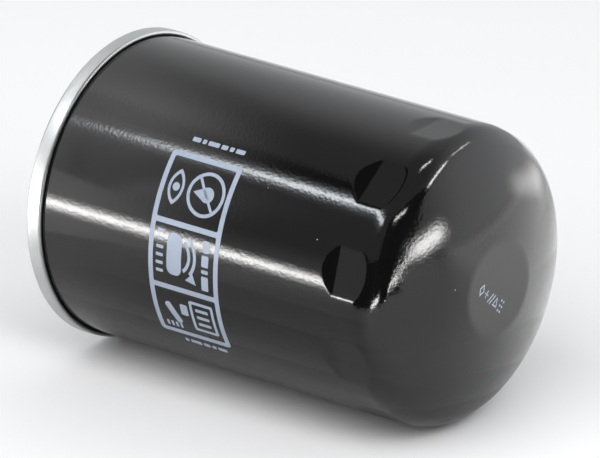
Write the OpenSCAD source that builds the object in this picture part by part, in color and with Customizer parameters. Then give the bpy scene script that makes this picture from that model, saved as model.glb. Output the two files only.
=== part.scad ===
// Spin-on oil filter, lying on its side.
// The filter's axis is +X, with the domed end at +X and the engine end at -X.
// The origin is on the axis, where the full thread of the stud hole starts.
// Every piece is drawn standing along +Z and laid down by lay(), so z below means the
// place along the axis and r the distance from it.

/* [Can] */
// Outer diameter of the can
can_d = 93; // [92:0.5:94]
// Thickness of the can's sheet
can_t = 0.45; // [0.4:0.05:0.6]
// Axial place where the dome's curve would peak
dome_apex = 139.1; // [138.5:0.1:142]
// Axial place where the straight wall turns into the shoulder
shoulder_z = 119; // [116:0.5:120]
// Radius of the rounded shoulder
shoulder_r = 10.5; // [9:0.5:12]
// Radius of the flat disc in the middle of the dome
disc_r = 14.5; // [12:0.5:18]

/* [Wrench flutes] */
// Number of pressed flats round the can
flute_count = 10; // [8:1:12]
// Half of the angle that one flat spans
flute_half_angle = 9.7; // [8:0.1:11]
// Axial place where the slope down to the flat starts
flute_start = 106.7; // [100:0.1:108]
// Length of that slope
flute_slope = 4.6; // [3:0.1:6]
// Turn of the flutes about the axis
flute_phase = 1.5; // [0:0.5:36]

/* [Rolled seam] */
// Thickness of the seaming lid's sheet
lid_t = 0.5; // [0.5:0.05:0.6]
// Axial place of the rim's outer end
rim_end = -5.3; // [-5.6:0.1:-5]
// Axial length of the rim
rim_length = 5.4; // [5:0.1:6]

/* [Gasket] */
// Inner diameter of the sealing ring
gasket_inner_d = 62; // [61.8:0.1:62.2]
// Outer diameter of the sealing ring
gasket_outer_d = 71; // [70.8:0.1:71.1]
// How far the gasket stands out past the rim
gasket_proud = 1.5; // [1:0.1:2]

/* [Tapping plate] */
// Radius of the threaded hole at the thread's crests (3/4 inch, 16 to the inch)
thread_r = 8.75; // [8.7:0.05:8.85]
// Length of full thread
thread_length = 11.2; // [9:0.1:12]
// Thickness of the plate
plate_t = 3.2; // [2.8:0.1:3.4]
// Number of oil inlet holes
inlet_count = 8; // [6:1:8]
// Diameter of an inlet hole
inlet_d = 8.4; // [7:0.1:8.6]

/* [Filter element] */
// Outer radius of the pleats
pleat_outer_r = 38; // [36:0.5:38]
// Number of pleats
pleat_count = 56; // [48:1:60]
// Thickness of the filter paper
paper_t = 0.55; // [0.4:0.05:0.6]
// Outer radius of the perforated centre tube
tube_r = 17.6; // [17.4:0.1:18]
// Rows of holes along the centre tube
tube_rows = 9; // [6:1:10]

/* [Valves] */
// Free lift of the bypass valve's disc
bypass_travel = 4; // [2:0.5:5]
// Lift of the anti-drain valve's lip
drain_travel = 2.5; // [1.5:0.5:2.5]

/* [Hidden] */
$fn = 96;
gap = 0.03;                 // slip clearance between pieces that fit round one another
touch = 0.02;               // what a resting valve keeps clear of its seat
can_r = can_d / 2;
plate_z = -0.8;             // outer face of the tapping plate
chamfer = 0.8;              // lead-in of the thread
plate_r = 40.4;
collar_r = 12.9;
inlet_circle_r = 22;
gasket_face = rim_end - gasket_proud;
cap_t = 0.45;               // sheet of the element's end discs
tube_t = 0.6;               // sheet of the centre tube

// Dome: a shoulder of shoulder_r that runs into a shallow sphere through the apex
shoulder_c = can_r - shoulder_r;
dome_rise = dome_apex - shoulder_z;
dome_r = (dome_rise * dome_rise + shoulder_c * shoulder_c - shoulder_r * shoulder_r)
         / (2 * (dome_rise - shoulder_r));
dome_angle = asin(shoulder_c / (dome_r - shoulder_r));
disc_angle = asin(disc_r / dome_r);
disc_z = dome_apex - dome_r * (1 - cos(disc_angle));    // outer face of the flat disc

// Double seam, radially: can wall, the lid's hook, the can's hook, the lid's outer wall
chuck_line = can_r - can_t - gap - lid_t / 2;
wall_line = can_r - can_t / 2;
lid_hook_line = can_r + gap + lid_t / 2;
can_hook_line = lid_hook_line + lid_t / 2 + gap + can_t / 2;
rim_line = can_hook_line + can_t / 2 + gap + lid_t / 2;
can_bend_r = (can_hook_line - wall_line) / 2;
lid_bend_r = (rim_line - lid_hook_line) / 2;
rim_foot = rim_end + rim_length;
can_bend_z = rim_end + lid_t + 0.2 + can_t / 2 + can_bend_r;
can_hook_end = rim_foot - lid_t - 1.3;

// Anti-drain valve: a fixed hub round the collar, and a lip that lifts off the inlet holes
hub_r = 16.4;
lip_t = 1.3;
lip_root_z = 7;
plate_inside = plate_z + plate_t;

// Filter element, from the threaded end to the dome
element_start = lip_root_z + lip_t + drain_travel + 2.2;    // outer face of the lower disc
element_end = 119;                                          // outer face of the upper disc
glue_t = 1.8;               // depth of the potting compound
paper_start = element_start + cap_t + glue_t;
paper_end = element_end - cap_t - glue_t;
pleat_inner_r = 20;
cap_wall_r = pleat_outer_r + 0.7;
cap_wall_height = 4;
seat_hole_r = 13.4;         // opening of the upper end disc, which holds the bypass valve

// Bypass valve, from its seat down to the end of its stem
orifice_r = 7.5;
seat_t = 0.8;
seat_face = element_end - 0.6;
seal_t = 1.2;
seal_top = seat_face - touch;
valve_r = 10.4;
valve_t = 0.8;
valve_top = seal_top - seal_t;
valve_under = valve_top - valve_t;
spring_wire_r = 0.6;
spring_turns = 7;
cage_r = 12.6;
cage_t = 0.6;
// outer face of the cage's floor, which leaves room for the closed spring and some spare
cage_floor = valve_under - bypass_travel - 2 * spring_wire_r * spring_turns - cage_t - 5.4;
stem_r = 2;
stem_end = cage_floor - 3;

// ---- Helpers ----

// Points of an arc round c, from angle a0 to angle a1
function arc(c, r, a0, a1, steps) =
    [for (i = [0:steps]) c + r * [cos(a0 + (a1 - a0) * i / steps),
                                  sin(a0 + (a1 - a0) * i / steps)]];
function unit(v) = v / norm(v);
function left_of(v) = [-v[1], v[0]];
function reversed(list) = [for (i = [len(list) - 1:-1:0]) list[i]];

// A path moved sideways by d, with its corners mitred
function beside(path, d) =
    [for (i = [0:len(path) - 1])
        let (a = unit(i > 0 ? path[i] - path[i - 1] : path[1] - path[0]),
             b = unit(i < len(path) - 1 ? path[i + 1] - path[i] : path[i] - path[i - 1]),
             m = unit(left_of(a) + left_of(b)))
        path[i] + m * d / (m * left_of(a))];

// The section of a sheet of thickness t that follows a centre line
function sheet(path, t) = concat(beside(path, t / 2), reversed(beside(path, -t / 2)));

// Lays a piece drawn along +Z down along +X
module lay() { rotate([0, 90, 0]) children(); }

// A flat ring between two radii and two heights
module ring(r0, r1, z0, z1) {
    translate([0, 0, z0]) difference() {
        cylinder(h = z1 - z0, r = r1);
        translate([0, 0, -1]) cylinder(h = z1 - z0 + 2, r = r0);
    }
}

// Copies children round the axis
module around(count, phase = 0) {
    for (i = [0:count - 1]) rotate(phase + 360 * i / count) children();
}

// A round wire that follows a list of points
module wire(points, r, sides) {
    n = len(points);
    function along(i) = unit(points[min(i + 1, n - 1)] - points[max(i - 1, 0)]);
    function loop(i) = let (t = along(i), u = unit(cross(t, [0, 0, 1])), v = cross(u, t))
        [for (k = [0:sides - 1]) points[i] + r * (cos(360 * k / sides) * u
                                                  + sin(360 * k / sides) * v)];
    polyhedron(
        points = [for (i = [0:n - 1]) each loop(i)],
        faces = concat(
            [[for (k = [0:sides - 1]) k]],
            [for (i = [0:n - 2]) for (k = [0:sides - 1])
                let (a = i * sides + k, b = i * sides + (k + 1) % sides)
                each [[a, a + sides, b + sides], [a, b + sides, b]]],
            [[for (k = [sides - 1:-1:0]) (n - 1) * sides + k]]));
}

// Points of a coil of wire of radius w, whose own radius goes from r0 to r1. One turn at
// each end is closed up and the turns between them share the rest of the height.
function coil(r0, r1, z0, z1, w, turns, step) =
    let (closed = 2.1 * w, pitch = (z1 - z0 - 2 * closed) / (turns - 2))
    [for (a = [0:step:360 * turns])
        let (t = a / 360, free = min(max(t - 1, 0), turns - 2), end = max(t - turns + 1, 0),
             r = r0 + (r1 - r0) * t / turns)
        [r * cos(a), r * sin(a), z0 + closed * (min(t, 1) + end) + pitch * free]];

// ---- Can ----

fluted_from = 20;           // where the plain wall hands over to the fluted part
flat_d = can_r * cos(flute_half_angle);

// Half outline of the domed end, moved inwards by inset, from height z0 up
function dome_outline(inset, z0) =
    let (disc_edge = disc_r - inset * tan(disc_angle / 2))
    concat([[0, z0], [can_r - inset, z0]],
           arc([shoulder_c, shoulder_z], shoulder_r - inset, 0, 90 - dome_angle, 14),
           arc([0, dome_apex - dome_r], dome_r - inset, 90 - dome_angle + 1,
               90 - disc_angle - 0.2, 7),
           [[disc_edge, disc_z - inset], [0, disc_z - inset]]);

// What one wrench flat leaves out: a slope down to a plane at distance d from the axis
module flute_cut(d) {
    depth = can_r - flat_d;
    over = 2 + can_r - d;
    bottom = flute_start + flute_slope;
    rotate([90, 0, 0]) linear_extrude(height = 24, center = true)
        polygon([[d, bottom], [d + over, bottom - over * flute_slope / depth],
                 [d + over, dome_apex + 5], [d, dome_apex + 5]]);
}

module fluted_solid(inset, z0) {
    difference() {
        rotate_extrude() polygon(dome_outline(inset, z0));
        around(flute_count, flute_phase) flute_cut(flat_d - inset);
    }
}

module can() {
    color("#1b1b1d") lay() {
        difference() {
            fluted_solid(0, fluted_from);
            fluted_solid(can_t, fluted_from - 1);
        }
        // plain wall and the hook that the lid's rim is rolled over
        rotate_extrude() polygon(sheet(concat(
            [[wall_line, fluted_from]],
            arc([wall_line + can_bend_r, can_bend_z], can_bend_r, 180, 360, 8),
            [[can_hook_line, can_hook_end]]), can_t));
    }
}

// ---- Lid, seam and tapping plate ----

channel_bottom = plate_z - lid_t / 2;
channel_inner = gasket_inner_d / 2 - 0.4 - lid_t / 2;
channel_outer = gasket_outer_d / 2 + 0.4 + lid_t / 2;
land_z = rim_end + 1.4;
well_z = 0.6;               // bottom of the groove beside the rim
well_r = 1.2;               // bends in that groove

module seaming_lid() {
    bend = 0.7;
    color("#c9ccd0") lay() rotate_extrude() polygon(sheet(concat(
        [[channel_inner, channel_bottom - 2.6]],
        arc([channel_inner + bend, channel_bottom - bend], bend, 180, 90, 4),
        arc([channel_outer - bend, channel_bottom - bend], bend, 90, 0, 4),
        arc([channel_outer + bend, land_z + bend], bend, 180, 270, 4),
        arc([plate_r - bend, land_z + bend], bend, 270, 360, 4),
        arc([plate_r + well_r + 0.6, well_z - well_r], well_r, 180, 90, 5),
        arc([chuck_line - well_r, well_z - well_r], well_r, 90, 0, 5),
        arc([chuck_line + bend, rim_end + lid_t / 2 + bend], bend, 180, 270, 5),
        arc([rim_line - bend, rim_end + lid_t / 2 + bend], bend, 270, 360, 5),
        arc([rim_line - lid_bend_r, rim_foot - lid_t / 2 - lid_bend_r], lid_bend_r, 0, 180, 8),
        [[lid_hook_line, can_bend_z + 1]]), lid_t));
}

module seam_sealant() {
    color("#8a8f86") lay() {
        ring(can_hook_line - can_t / 2, can_hook_line + can_t / 2, can_hook_end + touch,
             can_hook_end + 0.6);
        ring(lid_hook_line - lid_t / 2 + 0.12, lid_hook_line + lid_t / 2 - 0.12,
             can_bend_z + 0.5, can_bend_z + 1 - touch);
    }
}

module tapping_plate() {
    color("#9fa3a6") lay() difference() {
        union() {
            translate([0, 0, plate_z]) cylinder(h = plate_t, r = plate_r);
            cylinder(h = thread_length, r = collar_r);
        }
        translate([0, 0, -1]) cylinder(h = thread_length + 2, r = thread_r);
        translate([0, 0, -2 * chamfer])
            cylinder(h = 2 * chamfer, r1 = thread_r + 2 * chamfer, r2 = thread_r);
        around(inlet_count) translate([inlet_circle_r, 0, -2])
            cylinder(h = plate_t + 4, d = inlet_d);
    }
}

module outer_gasket() {
    round_r = 0.5;
    foot = plate_z - lid_t - gap;
    color("#232325") lay() rotate_extrude() polygon(concat(
        [[gasket_inner_d / 2, foot], [gasket_outer_d / 2, foot]],
        arc([gasket_outer_d / 2 - round_r - 0.2, gasket_face + round_r], round_r, 0, -90, 5),
        arc([gasket_inner_d / 2 + round_r + 0.2, gasket_face + round_r], round_r, -90, -180,
            5)));
}

// ---- Anti-drain valve ----

module drain_valve_hub() {
    hub_top = element_start - gap;
    color("#7a2f22") lay() {
        ring(collar_r + gap, hub_r, plate_inside + gap, hub_top - 1);
        ring(collar_r - 0.9, hub_r, thread_length + gap, hub_top);
    }
}

module drain_valve_lip() {
    root = [hub_r + 0.3, lip_root_z];
    edge = [29.5, plate_inside + 0.9];
    color("#7a2f22") lay() rotate_extrude() polygon([
        root, root + [0, lip_t], [edge[0] - 1.5, edge[1] + 1.1], edge + [0.6, 0.2],
        [edge[0] + 0.6, plate_inside + touch], [edge[0] - 1, plate_inside + touch],
        [edge[0] - 1.7, edge[1] + 0.1]]);
}

// ---- Filter element ----

// A shallow cup that closes one end of the element, with its wall turned to +Z
module end_disc(hole_r) {
    bend = 0.8;
    rotate_extrude() polygon(sheet(concat(
        [[hole_r, cap_t / 2]],
        arc([cap_wall_r - cap_t / 2 - bend, cap_t / 2 + bend], bend, 270, 360, 4),
        [[cap_wall_r - cap_t / 2, cap_wall_height]]), cap_t));
}

module lower_end_disc() {
    color("#b9bcc0") lay() translate([0, 0, element_start]) end_disc(collar_r);
}

module upper_end_disc() {
    color("#b9bcc0") lay() translate([0, 0, element_end]) mirror([0, 0, 1])
        end_disc(seat_hole_r);
}

module adhesive(z0) {
    round_off = 0.9;        // keeps clear of the bend in the end disc
    color("#c7b98f") lay() ring(tube_r + gap, cap_wall_r - cap_t - round_off, z0, z0 + glue_t);
}
module lower_adhesive() { adhesive(element_start + cap_t); }
module upper_adhesive() { adhesive(paper_end); }

// The pleats' centre line, which closes on itself
function pleat_line(side) =
    [for (i = [0:2 * pleat_count - 1])
        let (outer = i % 2 == 0, a = 180 * i / pleat_count,
             r = outer ? pleat_outer_r - paper_t : pleat_inner_r + paper_t,
             fold = outer ? 1.1 : 0.8)      // a fold is thicker along r than across the sheet
        (r + side * fold * paper_t) * [cos(a), sin(a)]];

module filter_paper() {
    color("#d9b24a") lay() translate([0, 0, paper_start])
        linear_extrude(height = paper_end - paper_start) difference() {
            polygon(pleat_line(1));
            polygon(pleat_line(-1));
        }
}

module pleat_seam_clip() {
    leg = 0.75;
    clip_t = 0.3;
    back = pleat_outer_r + 0.25;
    color("#aeb2b6") lay() translate([0, 0, paper_start + 3])
        linear_extrude(height = paper_end - paper_start - 6)
            polygon([[back - 4, leg], [back, leg], [back, -leg], [back - 4, -leg],
                     [back - 4, -leg - clip_t], [back + clip_t, -leg - clip_t],
                     [back + clip_t, leg + clip_t], [back - 4, leg + clip_t]]);
}

module centre_tube() {
    hole_d = 5;
    columns = 8;
    start = element_start + cap_t + gap;
    length = element_end - cap_t - gap - start;
    pitch = length / tube_rows;
    color("#a7abaf") lay() difference() {
        ring(tube_r - tube_t, tube_r, start, start + length);
        for (row = [0:tube_rows - 1])
            around(columns / 2, row % 2 * 180 / columns)
                translate([0, 0, start + (row + 0.5) * pitch])
                    rotate([0, 90, 0]) cylinder(h = 2 * tube_r + 2, d = hole_d, center = true);
    }
}

// ---- Bypass valve ----

module bypass_valve_seat() {
    flange_r = 16.2;
    color("#b4b8bb") lay() {
        ring(orifice_r, cage_r, seat_face, seat_face + seat_t);
        ring(cage_r - 0.6, flange_r, element_end + gap, element_end + gap + 0.6);
    }
}

module bypass_valve_cage() {
    window_w = 7;
    window_h = 9;
    top = seat_face - gap;
    color("#a9adb0") lay() difference() {
        union() {
            ring(cage_r - cage_t, cage_r, cage_floor, top);
            ring(stem_r + 0.05, cage_r - cage_t / 2, cage_floor, cage_floor + cage_t);
        }
        around(4) translate([cage_r, 0, cage_floor + cage_t + 2 + window_h / 2])
            cube([6, window_w, window_h], center = true);
        around(4, 45) translate([stem_r + 5.6, 0, cage_floor - 1])
            cylinder(h = cage_t + 2, d = 3.6);
    }
}

module bypass_valve_seal() {
    color("#2b2b2d") lay() ring(orifice_r - 1, valve_r - 0.4, valve_top, seal_top);
}

module bypass_valve_disc() {
    color("#bfc3c6") lay() translate([0, 0, valve_under]) cylinder(h = valve_t, r = valve_r);
}

module bypass_valve_stem() {
    head_r = 4;
    color("#a0a4a8") lay() {
        translate([0, 0, stem_end]) cylinder(h = valve_under - stem_end, r = stem_r);
        translate([0, 0, valve_under - 1]) cylinder(h = 1, r = head_r);
    }
}

module bypass_valve_spring() {
    coil_r = 6;
    color("#8f959b") lay() wire(
        coil(coil_r, coil_r, cage_floor + cage_t + spring_wire_r,
             valve_under - spring_wire_r, spring_wire_r, spring_turns, 18),
        spring_wire_r, 8);
}

module support_spring() {
    wire_r = 1.1;
    color("#8f959b") lay() wire(
        coil(14.6, 11.5, element_end + gap + 0.6 + wire_r + 0.02,
             disc_z - can_t - wire_r - touch, wire_r, 5, 15),
        wire_r, 8);
}

can();
seaming_lid();
seam_sealant();
tapping_plate();
outer_gasket();
drain_valve_hub();
drain_valve_lip();
lower_end_disc();
lower_adhesive();
filter_paper();
pleat_seam_clip();
centre_tube();
upper_adhesive();
upper_end_disc();
bypass_valve_seat();
bypass_valve_cage();
bypass_valve_seal();
bypass_valve_disc();
bypass_valve_stem();
bypass_valve_spring();
support_spring();
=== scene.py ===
# %% [markdown]
# # A spin-on oil filter, lying on its side
# A spin-on filter is a deep-drawn steel can, painted black, with a lid rolled onto its
# open end. The CAD model gives the size and place of every piece, and this script builds
# the surfaces that are seen around it. The first step loads that CAD model, because every
# later measure comes from it.

# %% Load the CAD frame
import math

import bmesh
import bpy
import numpy as np
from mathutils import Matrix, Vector


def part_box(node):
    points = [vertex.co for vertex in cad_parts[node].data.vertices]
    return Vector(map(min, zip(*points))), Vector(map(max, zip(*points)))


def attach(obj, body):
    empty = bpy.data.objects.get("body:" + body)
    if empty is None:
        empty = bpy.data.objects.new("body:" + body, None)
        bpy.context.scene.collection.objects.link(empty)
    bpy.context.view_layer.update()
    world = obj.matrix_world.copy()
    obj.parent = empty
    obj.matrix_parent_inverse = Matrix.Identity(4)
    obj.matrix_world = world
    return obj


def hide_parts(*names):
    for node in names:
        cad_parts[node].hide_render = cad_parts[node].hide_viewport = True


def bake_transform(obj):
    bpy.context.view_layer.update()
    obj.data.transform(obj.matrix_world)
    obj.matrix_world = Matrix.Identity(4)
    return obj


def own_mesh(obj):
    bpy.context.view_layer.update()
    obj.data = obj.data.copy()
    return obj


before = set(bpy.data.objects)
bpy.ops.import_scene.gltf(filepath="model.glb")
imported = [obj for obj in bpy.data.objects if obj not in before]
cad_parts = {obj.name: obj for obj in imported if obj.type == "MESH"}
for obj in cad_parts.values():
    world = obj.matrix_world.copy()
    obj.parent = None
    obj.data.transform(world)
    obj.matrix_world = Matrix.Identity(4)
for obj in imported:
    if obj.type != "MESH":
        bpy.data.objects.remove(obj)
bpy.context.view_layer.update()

MM = 0.001
ON_AXIS = 1e-6
scene = bpy.context.scene

# %% [markdown]
# ## Node trees written as expressions
# Materials and Geometry Nodes are both trees of nodes. Adding nodes one by one is long to
# read, so one small class wraps an output socket. Arithmetic on it adds Math nodes, and any
# other node comes from its node() method, which sets the node's settings first and then its
# sockets. The same class serves shaders and geometry.

# %% A socket that can be calculated with
class Wire:
    """An output socket of a node tree. Arithmetic on it adds Math nodes."""

    def __init__(self, tree, socket=None):
        self.tree = tree
        self.socket = socket

    def node(self, kind, settings=None, sockets=None, out=0):
        """Adds a node, sets its settings, then its sockets, and wraps one output."""
        made = self.tree.nodes.new(kind)
        for key, value in (settings or {}).items():
            setattr(made, key, value)
        for key, value in (sockets or {}).items():
            if isinstance(value, Wire):
                self.tree.links.new(value.socket, made.inputs[key])
            else:
                made.inputs[key].default_value = value
        return Wire(self.tree, made.outputs[out] if len(made.outputs) else None)

    def calculate(self, operation, *values):
        """Adds a Math node with these inputs, in this order."""
        return self.node("ShaderNodeMath", {"operation": operation}, dict(enumerate(values)))

    def math(self, operation, *others):
        """A Math operation on this value and any others."""
        return self.calculate(operation, self, *others)

    def __add__(self, other):
        return self.math("ADD", other)

    def __sub__(self, other):
        return self.math("SUBTRACT", other)

    def __rsub__(self, other):
        return self.calculate("SUBTRACT", other, self)

    def __mul__(self, other):
        return self.math("MULTIPLY", other)

    def __truediv__(self, other):
        return self.math("DIVIDE", other)

    def __rtruediv__(self, other):
        return self.calculate("DIVIDE", other, self)

    __radd__ = __add__

    def between(self, low, high):
        """0 below low, 1 above high and a smooth rise from one to the other."""
        return self.node("ShaderNodeMapRange", {"interpolation_type": "SMOOTHSTEP"},
                         {"Value": self, "From Min": low, "From Max": high})

    def pick(self, colour_a, colour_b):
        """Mixes two colours, with this value as the factor."""
        return self.node("ShaderNodeMix", {"data_type": "RGBA"},
                         {0: self, 6: opaque(colour_a), 7: opaque(colour_b)}, out=2)

    def part(self, name):
        """One coordinate of a vector."""
        return self.node("ShaderNodeSeparateXYZ", sockets={0: self}, out=name)


def opaque(colour):
    return colour if isinstance(colour, Wire) else (*colour, 1.0)


print("Wire can add, subtract, multiply and divide sockets")

# %% [markdown]
# ## Finishes
# Every finish is a Principled shader whose colour, roughness and bump vary with Object
# coordinates. These are in metres and stay put on the piece, so a speck of 0.3 mm is 0.3 mm
# on every piece. The pieces are round, so most finishes also need the angle about the axis
# and the distance from it.

# %% Helpers for finishes
def new_finish(name):
    material = bpy.data.materials.new(name)
    material.use_nodes = True
    material.node_tree.nodes.clear()
    return material, Wire(material.node_tree)


def complete(tree, bump=None, bump_depth=0.0, **sockets):
    """Ends a tree with a Principled shader. A bump height is given in metres at 1."""
    named = {key.replace("_", " ").title(): value for key, value in sockets.items()}
    named = {key.replace("Ior", "IOR"): value for key, value in named.items()}
    if bump is not None:
        named["Normal"] = tree.node("ShaderNodeBump", sockets={
            "Strength": 1.0, "Distance": bump_depth, "Height": bump}, out="Normal")
    shader = tree.node("ShaderNodeBsdfPrincipled", sockets=named)
    tree.node("ShaderNodeOutputMaterial", sockets={"Surface": shader})


def object_place(tree):
    return tree.node("ShaderNodeTexCoord", out="Object")


def noise(place, scale, detail=2.0):
    """Smooth noise from 0 to 1, with scale waves to the metre."""
    return place.node("ShaderNodeTexNoise", sockets={
        "Vector": place, "Scale": scale, "Detail": detail})


def round_place(place, along, around):
    """A vector of axial place, radius and angle, stretched for marks that run round."""
    x, y, z = place.part("X"), place.part("Y"), place.part("Z")
    radius = (y * y + z * z).math("SQRT")
    angle = z.math("ARCTAN2", y)
    return place.node("ShaderNodeCombineXYZ", sockets={
        "X": x * along, "Y": radius * along, "Z": angle * around})


def specks(place, spacing, size, share):
    """1 on small round specks of a size in metres, in a share of the cells."""
    cells = {"Vector": place, "Scale": 1 / spacing}
    near = place.node("ShaderNodeTexVoronoi", sockets=cells, out="Distance")
    tint = place.node("ShaderNodeTexVoronoi", sockets=cells, out="Color").part("X")
    return (1 - near.between(0.35 * size / spacing, 0.5 * size / spacing)) \
        * tint.math("LESS_THAN", share)


print("Helpers for finishes are ready")

# %% [markdown]
# ## Black paint
# The can is stove-enamelled: a smooth, hard gloss with the faint ripple called orange peel,
# about a millimetre from crest to crest. A real one has also been handled, so there is a
# light haze, and a few pale specks of dust. The ripple is bump, and the haze is roughness.

# %% Black paint
PEEL_WAVE, DUST_SPACING = 0.001, 0.0085
paint, tree = new_finish("black_stove_enamel")
place = object_place(tree)
peel = noise(place, 1 / PEEL_WAVE, 2.0)
haze = noise(place, 26, 5.0)
dust = specks(place, DUST_SPACING, 0.00045, 0.42)
fine_dust = specks(place, 0.0032, 0.00016, 0.34)
dirt = (dust + fine_dust * 0.5).math("MINIMUM", 1.0)
complete(tree, bump=peel, bump_depth=0.000024,
         base_color=dirt.pick((0.0036, 0.0034, 0.0037), (0.36, 0.35, 0.33)),
         roughness=0.05 + haze * 0.07 + dirt * 0.4, ior=1.5)
print("black paint: peel of", PEEL_WAVE / MM, "mm, dust every", DUST_SPACING / MM, "mm")

# %% [markdown]
# ## Tin, steel and zinc
# The lid is tinplate: bright, slightly soft, with fine marks that run round it where the
# seaming rollers pressed. The threaded plate is thicker steel with an oily, mottled skin.
# The parts inside are galvanised sheet, whose zinc grows in visible crystals. One function
# makes them all, and the springs' drawn wire too, because they differ only in colour and in
# how strong each mark is.

# %% Metals
def metal(name, dark, light, rough, marks, crystals, depth):
    """A metal with marks that run round the axis and, if asked, zinc crystals."""
    material, tree = new_finish(name)
    place = object_place(tree)
    rolled = noise(round_place(place, 1400, 1.6), 1.0, 3.0)
    mottle = noise(place, 85, 5.0)
    shade = mottle * 0.55 + rolled * 0.45
    roughness = rough + (mottle - 0.5) * 0.16 + (rolled - 0.5) * marks
    if crystals:
        grain = tree.node("ShaderNodeTexVoronoi", sockets={
            "Vector": place, "Scale": 300.0}, out="Color").part("X")
        shade = shade * 0.4 + grain * 0.6
        roughness = roughness + (grain - 0.5) * 0.2
    complete(tree, bump=rolled, bump_depth=depth, metallic=1.0,
             base_color=shade.pick(dark, light), roughness=roughness)
    return material


tin = metal("tinplate", (0.36, 0.37, 0.37), (0.66, 0.67, 0.67), 0.36, 0.30, False, 0.000022)
plate_skin = metal("oiled_steel", (0.34, 0.34, 0.35), (0.60, 0.60, 0.61), 0.34, 0.12, False,
                   0.000012)
zinc = metal("galvanised_steel", (0.42, 0.44, 0.46), (0.68, 0.70, 0.72), 0.36, 0.1, True,
             0.000008)
wire_steel = metal("drawn_wire", (0.24, 0.25, 0.27), (0.46, 0.47, 0.49), 0.30, 0.2, False,
                   0.000010)
print("metals:", [m.name for m in (tin, plate_skin, zinc, wire_steel)])

# %% [markdown]
# ## Rubber, compound, paper and ink
# These are all dull and grainy, so they share one function as well: two colours mixed by
# noise, a rough surface, and a grain of bump. The paper also has fine ribs along the
# filter's length, which keep its pleats apart.

# %% Soft finishes
def dull(name, dark, light, rough, grain_scale, depth, ribs=0.0):
    """A dull finish whose grain has grain_scale waves to the metre."""
    material, tree = new_finish(name)
    place = object_place(tree)
    grain = noise(place, grain_scale, 4.0)
    cloud = noise(place, grain_scale / 12, 3.0)
    height = grain
    if ribs:
        wave = place.part("X") * (2 * math.pi / ribs)
        height = grain * 0.4 + wave.math("SINE") * 0.6
    complete(tree, bump=height, bump_depth=depth,
             base_color=(grain * 0.5 + cloud * 0.5).pick(dark, light),
             roughness=rough + (cloud - 0.5) * 0.25)
    return material


gasket_rubber = dull("gasket_rubber", (0.012, 0.012, 0.013), (0.034, 0.034, 0.036), 0.46, 1500,
                     0.00002)
valve_rubber = dull("valve_rubber", (0.17, 0.035, 0.02), (0.30, 0.07, 0.04), 0.50, 1200,
                    0.00002)
compound = dull("seam_compound", (0.20, 0.22, 0.19), (0.34, 0.36, 0.33), 0.62, 1500, 0.00003)
potting = dull("plastisol", (0.50, 0.38, 0.20), (0.70, 0.57, 0.36), 0.36, 500, 0.00005)
paper = dull("filter_paper", (0.60, 0.39, 0.11), (0.80, 0.58, 0.24), 0.78, 2600, 0.00004,
             ribs=0.0019)
print("dull finishes:", [m.name for m in (gasket_rubber, valve_rubber, compound, potting, paper)])

# %% [markdown]
# Printing ink on enamel is thin and a little uneven: pale blue-grey, with pinholes where
# the black shows through. The pinholes are only a darker colour here, because the ink is
# a real layer a few hundredths of a millimetre thick.

# %% Ink
ink, tree = new_finish("printing_ink")
place = object_place(tree)
thin_spots = noise(place, 2300, 3.0).between(0.60, 0.72)
cloud = noise(place, 160, 3.0)
complete(tree, bump=noise(place, 1800, 2.0), bump_depth=0.000006,
         base_color=(thin_spots * 0.45 + cloud * 0.25).pick((0.31, 0.36, 0.45),
                                                          (0.16, 0.18, 0.22)),
         roughness=0.36 + cloud * 0.2)
print("ink is ready")

# %% [markdown]
# ## Shapes turned about the axis
# Almost every part of a filter is round, so its shape is a closed outline turned about X.
# Blender's Spin tool could do it, but it leaves the seam open and gives no say in the radius.
# This function builds the vertices itself, so that a radius can also depend on the angle,
# which the wrench flats and the thread need.

# %% Outlines and turning
def arc(centre, radius, start, end, steps):
    """Points of an arc, with angles in degrees. In outlines they start at the axis."""
    turn = np.radians(np.linspace(start, end, steps + 1))
    return [(centre[0] + radius * math.cos(a), centre[1] + radius * math.sin(a)) for a in turn]


def sheet_outline(path, thickness):
    """The closed outline of a sheet whose centre line is the path."""
    line = np.array(path, float)
    step = np.diff(line, axis=0)
    step /= np.linalg.norm(step, axis=1)[:, None]
    before = np.vstack([step[:1], step])
    after = np.vstack([step, step[-1:]])
    side = np.column_stack([-(before + after)[:, 1], (before + after)[:, 0]])
    side /= np.linalg.norm(side, axis=1)[:, None]
    side /= np.sum(side * np.column_stack([-before[:, 1], before[:, 0]]), axis=1)[:, None]
    outer = line + side * thickness / 2
    inner = line - side * thickness / 2
    return [tuple(p) for p in outer] + [tuple(p) for p in inner[::-1]]


def turned(name, outline, segments, material, radius_at=None, crease=32):
    """A closed solid from an outline of (axial place, radius) in mm, turned about X."""
    angle = np.arange(segments) * 2 * math.pi / segments
    points, loops = [], []
    for k, (x, r) in enumerate(outline):
        start = len(points)
        if r < ON_AXIS:
            points.append((x * MM, 0.0, 0.0))
            loops.append([start] * segments)
            continue
        radius = radius_at(k, x, r, angle) if radius_at else np.full(segments, r)
        points += [(x * MM, q * MM * math.cos(a), q * MM * math.sin(a))
                   for q, a in zip(radius, angle)]
        loops.append(list(range(start, start + segments)))
    faces = []
    starts_on_axis = outline[0][1] < ON_AXIS
    for low, high in zip(loops, loops[1:] + ([] if starts_on_axis else loops[:1])):
        for k in range(segments):
            corners = [low[k], low[k - 1], high[k - 1], high[k]]
            faces.append(list(dict.fromkeys(corners)))
    return finished_mesh(name, points, faces, material, crease)


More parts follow.
